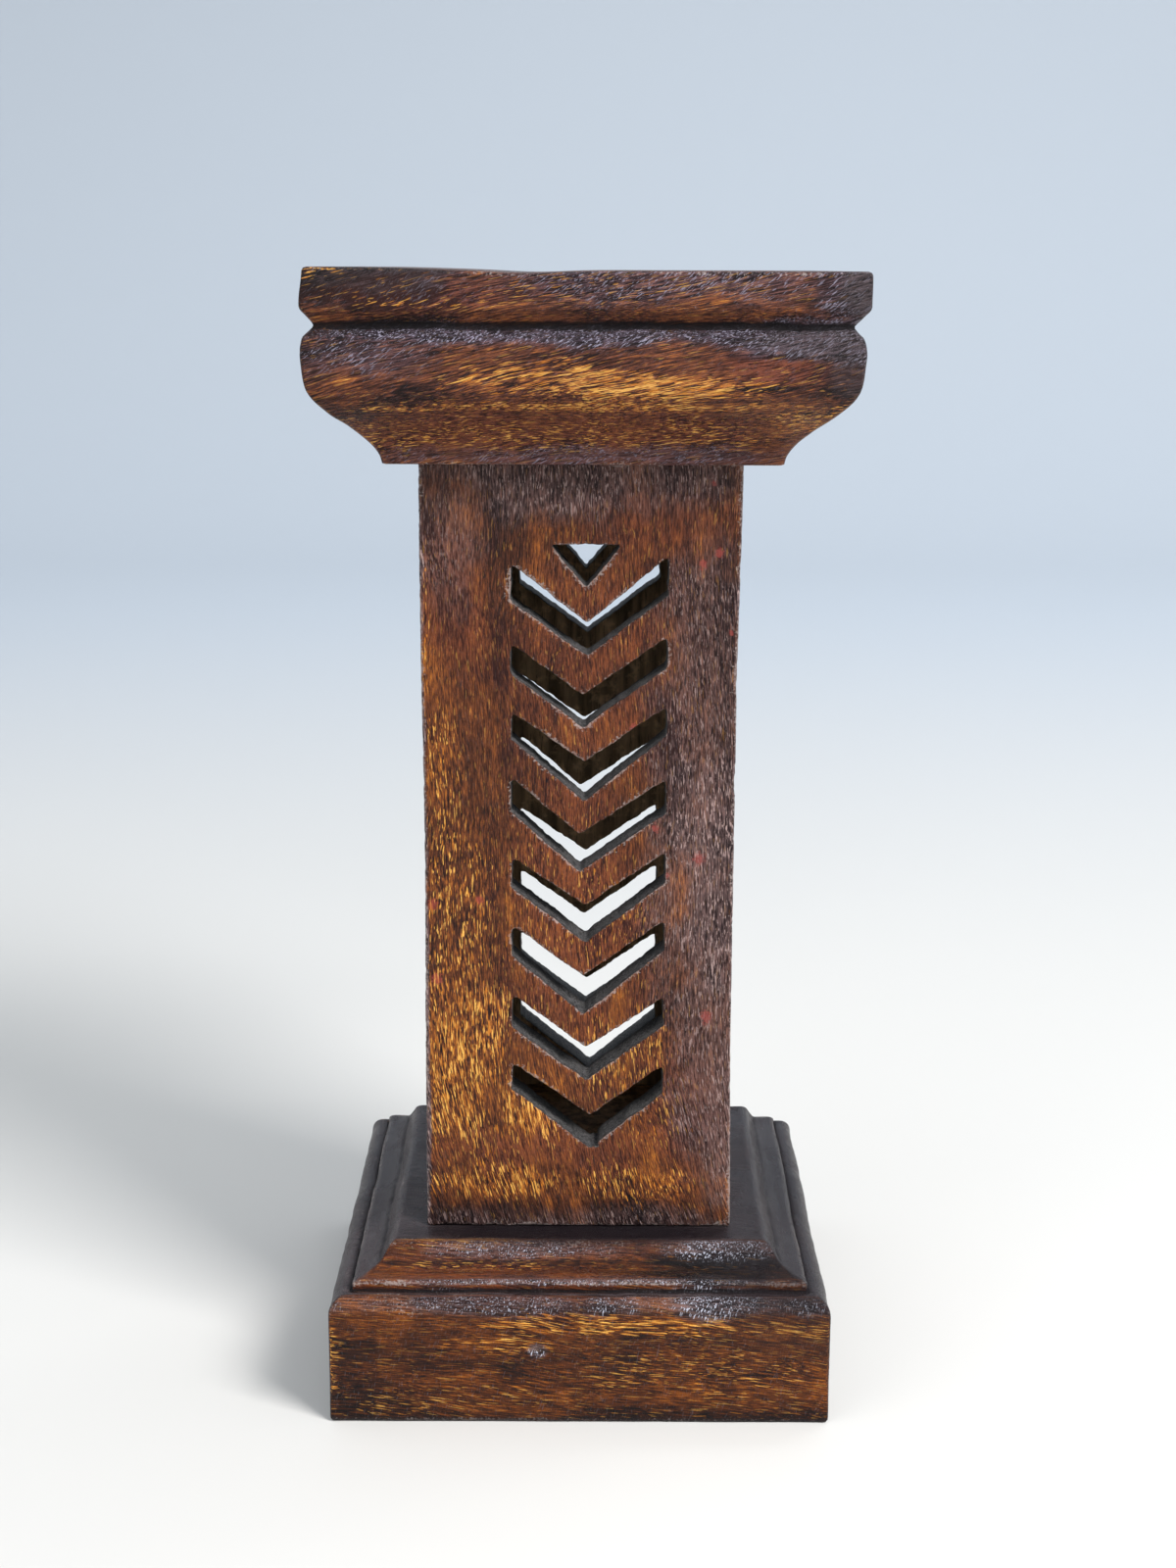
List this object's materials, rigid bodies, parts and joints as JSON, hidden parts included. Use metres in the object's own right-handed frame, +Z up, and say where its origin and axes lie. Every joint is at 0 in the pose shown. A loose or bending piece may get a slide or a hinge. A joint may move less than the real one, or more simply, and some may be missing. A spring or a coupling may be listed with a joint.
{
  "type": "pedestal stand",
  "caption": "Free-standing wooden pedestal: moulded square base, hollow square column pierced with chevrons front and back, and a moulded cap block with a flat top.",
  "frame": {"origin": "centre of the base's underside, on the surface that the pedestal stands on", "axes": "+Z up the column, -Y towards the viewer's side (front panel), +X to the right as seen from the front"},
  "size_m": [0.1364, 0.1364, 0.3],
  "materials": {
    "stained_wood": "dark red-brown stain under worn glossy varnish, with gold pore streaks where the stain has rubbed off",
    "raw_wood": "sawn, unfinished",
    "screw_steel": "dull zinc-plated"
  },
  "bodies": {
    "root": {"base_block": "stained_wood", "front_panel": "stained_wood", "back_panel": "stained_wood", "left_panel": "stained_wood", "right_panel": "stained_wood", "cap_block": "stained_wood", "top_plug": "raw_wood", "bottom_plug": "raw_wood", "cap_screws": "screw_steel", "base_screws": "screw_steel"}
  },
  "joints": []
}
